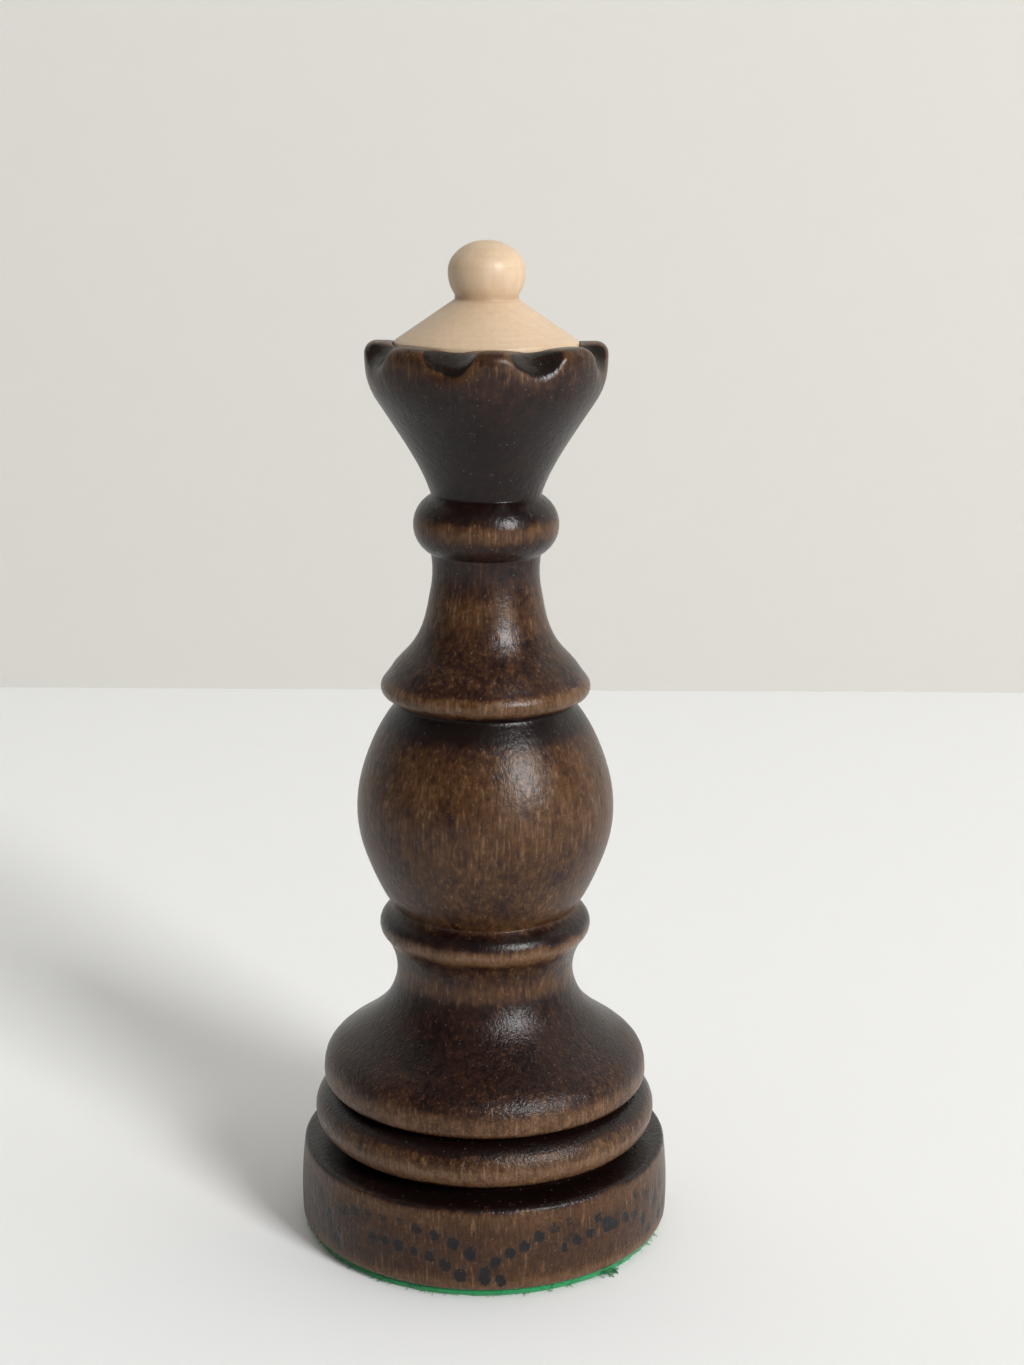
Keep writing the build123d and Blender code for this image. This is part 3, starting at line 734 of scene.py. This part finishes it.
# files the scoops: each point inside a stroke moves out to the file's surface
def fileScoops(mesh):
    places = readPoints(mesh)
    distance = np.full(len(places), 9.0)
    lean = math.radians(body["scoopSlope"])
    for azimuth, fileRadius, bite in body["scoops"]:
        turn = math.radians(azimuth)
        outward = np.array((math.sin(turn), -math.cos(turn), 0))
        entry = (outward * (body["crownRadius"] + fileRadius * math.sin(lean))
                 + np.array((0, 0, bodyHigh - bite + fileRadius * math.cos(lean))))
        stroke = -outward * math.cos(lean) + np.array((0, 0, math.sin(lean)))
        offset = places - entry
        along = offset @ stroke
        across = offset - along[:, None] * stroke
        reach = np.linalg.norm(across, axis=1)
        isNear = (places @ outward > 4) & (places[:, 2] > bodyHigh - 6) & (reach > 1e-6)
        # the file rocked a little, so no scoop is a true round
        around = np.arctan2(across @ np.cross(stroke, outward), across @ outward)
        rocked = fileRadius * (1 + body["scoopRock"] * (np.sin(3 * around + azimuth)
                                                        + 0.7 * np.sin(1.9 * along + 2 * azimuth)))
        gap = reach - rocked
        soft = body["scoopSoftness"]
        moved = rocked + 0.5 * (gap + np.sqrt(gap**2 + soft**2))
        moved = np.where(gap > 6 * soft, reach, moved)
        ratio = np.where(isNear, moved / np.maximum(reach, 1e-6), 1.0)
        places = entry + along[:, None] * stroke + across * ratio[:, None]
        distance = np.where(isNear, np.minimum(distance, gap), distance)
    mesh.vertices.foreach_set("co", (places * mm).ravel())
    scoopDistance = mesh.attributes.new("scoopDistance", "FLOAT", "POINT")
    scoopDistance.data.foreach_set("value", distance)


fileScoops(bodyMesh)
finishMesh(bodyMesh)
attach(turnedBody, "root")
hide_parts("turned_body")
bodyMesh.calc_loop_triangles()
print("turned body:", len(bodyMesh.loop_triangles), "triangles")

# ---- finial
finial = {"segments": 192}
finialRows = spaceRows(readOutline("finial", lambda radius, height: radius > -1), lambda r, h: 0.5)
finialPiece, finialPattern = turnPiece("finialKnob", finialRows, finial["segments"], naturalWood)
finialMesh = bakeTrees(finialPiece)
bpy.data.objects.remove(finialPattern)
finishMesh(finialMesh)
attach(finialPiece, "root")
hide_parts("finial")
print("finial:", len(finialRows), "rows")

# ---- felt
felt = {
    "segments": 240,
    "edgeRound": 0.18,
    "lift": 0.02,                # clear of the board
    "fibres": 520,
    "fibreLength": 0.5,
    "fibreWidth": 0.045,
    "tuftAzimuth": 41.0,
    "tuftFibres": 26,
    "tuftLength": 1.35,
    "seed": 11,
}
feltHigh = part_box("base_felt")[1] / mm
feltRadius = float(feltHigh[0])
feltTop = float(feltHigh[2])


def makeFeltDisc():
    edge, lift = felt["edgeRound"], felt["lift"]
    outline = ([(0, lift), (feltRadius - edge, lift)]
               + roundPoints((feltRadius - edge, lift + edge), edge, -90, 0)
               + roundPoints((feltRadius - edge, feltTop - edge), edge, 0, 90)
               + [(0, feltTop)])
    rows = spaceRows(outline, lambda radius, height: 0.14 if radius > feltRadius - 0.7 else 2.0)
    disc, pattern = turnPiece("baseFelt", rows, felt["segments"], greenFelt)
    mesh = bakeTrees(disc)
    bpy.data.objects.remove(pattern)
    places = readPoints(mesh)
    # the cut edge wanders in and out a little, and is pinched where the glue holds it
    azimuth = np.arctan2(places[:, 0], -places[:, 1])
    radius = np.hypot(places[:, 0], places[:, 1])
    wander = (0.05 * np.sin(azimuth * 23 + 1) + 0.04 * np.sin(azimuth * 41 + 2)
              + 0.03 * np.sin(azimuth * 67 + places[:, 2] * 9))
    places[:, :2] *= (1 + np.clip(wander, -0.12, 0.0) / feltRadius
                      * np.clip((radius - feltRadius + 1) / 1, 0, 1))[:, None]
    mesh.vertices.foreach_set("co", (places * mm).ravel())
    finishMesh(mesh)
    return disc


feltDisc = makeFeltDisc()


# roots of the loose fibres: all round the cut edge, and one pulled tuft
def fibreRoots():
    chance = np.random.default_rng(felt["seed"])
    roots = []
    for i in range(felt["fibres"]):
        azimuth = chance.uniform(-math.pi, math.pi)
        height = chance.uniform(0.05, feltTop - 0.05)
        roots.append((azimuth, height, chance.uniform(0.5, 1.2), chance.normal(0, 0.9),
                      chance.normal(0, 0.45)))
    for i in range(felt["tuftFibres"]):
        azimuth = math.radians(felt["tuftAzimuth"]) + chance.normal(0, 0.028)
        roots.append((azimuth, chance.uniform(0.05, 0.35), chance.uniform(0.5, 1.0)
                      * felt["tuftLength"] / felt["fibreLength"], 0.5 + chance.normal(0, 0.5),
                      chance.normal(-0.05, 0.16)))
    return roots


def makeFibreTree():
    tree, given = newTree("growFibres", [("Length", "Float"), ("Width", "Float"), ("Finish", "Material")])
    share = addNode(tree, "GeometryNodeInputNamedAttribute", {"Name": "share"}, data_type="FLOAT")
    facing = addNode(tree, "GeometryNodeInputNamedAttribute", {"Name": "facing"}, data_type="FLOAT_VECTOR")
    turned = addNode(tree, "FunctionNodeEulerToRotation", {0: facing.outputs[0]})
    scale = addNode(tree, "ShaderNodeMath", {0: share.outputs[0], 1: given["Length"]}, operation="MULTIPLY")
    hair = addNode(tree, "GeometryNodeCurveQuadraticBezier", {
        "Resolution": 4, "Start": (0, 0, 0), "Middle": (0.55, 0.12, 0.1), "End": (1, -0.15, -0.08)})
    thin = addNode(tree, "ShaderNodeMath", {0: given["Width"], 1: given["Length"]}, operation="DIVIDE")
    section = addNode(tree, "GeometryNodeCurvePrimitiveCircle", {"Resolution": 3})
    tree.links.new(thin.outputs[0], section.inputs["Radius"])
    strand = addNode(tree, "GeometryNodeCurveToMesh", {"Curve": hair.outputs[0],
                                                       "Profile Curve": section.outputs[0],
                                                       "Fill Caps": True})
    grown = addNode(tree, "GeometryNodeInstanceOnPoints", {
        "Points": given["Geometry"], "Instance": strand.outputs[0], "Rotation": turned.outputs[0],
        "Scale": scale.outputs[0]})
    real = addNode(tree, "GeometryNodeRealizeInstances", {"Geometry": grown.outputs[0]})
    # no fibre goes through the board or up into the wood
    place = addNode(tree, "GeometryNodeInputPosition")
    split = addNode(tree, "ShaderNodeSeparateXYZ", {0: place.outputs[0]})
    level = addNode(tree, "ShaderNodeClamp", {0: split.outputs[2], 1: 0.03 * mm, 2: 0.75 * mm})
    level = addNode(tree, "ShaderNodeCombineXYZ", {0: split.outputs[0], 1: split.outputs[1],
                                                   2: level.outputs[0]})
    laid = addNode(tree, "GeometryNodeSetPosition", {"Geometry": real.outputs[0],
                                                     "Position": level.outputs[0]})
    finished = addNode(tree, "GeometryNodeSetMaterial", {"Geometry": laid.outputs[0],
                                                         "Material": given["Finish"]})
    addNode(tree, "NodeGroupOutput", {0: finished.outputs[0]})
    return tree


def makeFibres():
    roots = fibreRoots()
    mesh = bpy.data.meshes.new("feltFibres")
    mesh.from_pydata([((feltRadius - 0.1) * mm * math.sin(azimuth),
                       -(feltRadius - 0.1) * mm * math.cos(azimuth), height * mm)
                      for azimuth, height, share, yaw, pitch in roots], [], [])
    shareData = mesh.attributes.new("share", "FLOAT", "POINT")
    shareData.data.foreach_set("value", [root[2] for root in roots])
    facingData = mesh.attributes.new("facing", "FLOAT_VECTOR", "POINT")
    facingData.data.foreach_set("vector", [
        number for azimuth, height, share, yaw, pitch in roots
        for number in (yaw * 2, pitch, azimuth - math.pi / 2 + yaw)])
    piece = newObject("feltFibres", mesh)
    addTree(piece, makeFibreTree(), {"Length": felt["fibreLength"] * mm,
                                     "Width": felt["fibreWidth"] / 2 * mm, "Finish": greenFelt})
    bakeTrees(piece).shade_smooth()
    return piece


fibres = makeFibres()
for piece in (feltDisc, fibres):
    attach(piece, "root")
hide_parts("base_felt")
print("felt and", felt["fibres"] + felt["tuftFibres"], "fibres")

# ---- stage, light and camera
stage = {
    "floor": "#ebebea",
    "wall": "#cdcbc5",
    "wallDistance": 0.211,
    # degrees right of the front and above the board, distance, width and height, power,
    # and whether the lacquer mirrors it
    "lights": {
        "window": (40.0, 27.0, 2.0, (0.52, 0.8), 40.0, True),
        "paleCurtain": (80.0, 20.0, 2.25, (1.6, 1.6), 12.0, False),
        "ceiling": (0.0, 89.0, 2.5, (2.5, 2.5), 15.0, False),
    },
    "lightAim": 0.045,           # height of the point that the lights face
    "fill": "#eef0f2",
    "fillStrength": 0.16,
}


def makeStageMaterial(name, colour, roughness):
    material, tree = newMaterial(name)
    place = addNode(tree, "ShaderNodeTexCoord").outputs["Object"]
    tooth = addNode(tree, "ShaderNodeTexNoise", {"Vector": place, "Scale": 900.0, "Detail": 4.0})
    bump = addNode(tree, "ShaderNodeBump", {"Height": tooth.outputs[0], "Strength": 0.1,
                                            "Distance": 0.05 * mm})
    shader = addNode(tree, "ShaderNodeBsdfPrincipled", {
        "Base Color": toLinear(colour), "Roughness": roughness, "Normal": bump.outputs[0]})
    addNode(tree, "ShaderNodeOutputMaterial", {"Surface": shader.outputs[0]})
    return material


def makeSheet(name, corners, material):
    mesh = bpy.data.meshes.new(name)
    mesh.from_pydata(corners, [], [(0, 1, 2, 3)])
    mesh.materials.append(material)
    sheet = newObject(name, mesh)


wallY = stage["wallDistance"]
makeSheet("floor", [(-1.5, -1.5, 0), (1.5, -1.5, 0), (1.5, wallY, 0), (-1.5, wallY, 0)],
          makeStageMaterial("whitePaper", stage["floor"], 0.9))
makeSheet("wall", [(-1.5, wallY, 0), (1.5, wallY, 0), (1.5, wallY, 1.2), (-1.5, wallY, 1.2)],
          makeStageMaterial("paleWallpaper", stage["wall"], 0.95))

world = bpy.data.worlds.new("paleRoom")
world.use_nodes = True
world.node_tree.nodes.clear()
sky = addNode(world.node_tree, "ShaderNodeBackground", {"Color": toLinear(stage["fill"]),
                                                        "Strength": stage["fillStrength"]})
addNode(world.node_tree, "ShaderNodeOutputWorld", {"Surface": sky.outputs[0]})
bpy.context.scene.world = world

for name, (azimuth, elevation, distance, size, power, isMirrored) in stage["lights"].items():
    light = bpy.data.lights.new(name, "AREA")
    light.shape = "RECTANGLE"
    light.size, light.size_y = size
    light.energy = power
    lamp = bpy.data.objects.new(name, light)
    bpy.context.scene.collection.objects.link(lamp)
    azimuth, elevation = math.radians(azimuth), math.radians(elevation)
    lamp.location = (distance * math.sin(azimuth) * math.cos(elevation),
                     -distance * math.cos(azimuth) * math.cos(elevation),
                     distance * math.sin(elevation) + stage["lightAim"])
    lamp.rotation_euler = (math.pi / 2 - elevation, 0, azimuth)
    lamp.visible_glossy = isMirrored

view = {
    "place": (0.002153, -0.198986, 0.101071),
    "pitch": 13.657,
    "roll": -0.303,
    "sensor": 36.0,
    "lens": 58.94,
}
camera = bpy.data.cameras.new("camera")
camera.sensor_fit = "VERTICAL"
camera.sensor_height = view["sensor"]
camera.lens = view["lens"]
camera.clip_start = 0.01
cameraObject = bpy.data.objects.new("camera", camera)
bpy.context.scene.collection.objects.link(cameraObject)
cameraObject.location = view["place"]
cameraObject.rotation_euler = (math.radians(90 - view["pitch"]), math.radians(view["roll"]), 0)
bpy.context.scene.camera = cameraObject
bpy.context.scene.view_settings.view_transform = "Standard"
print("stage, light and camera set")
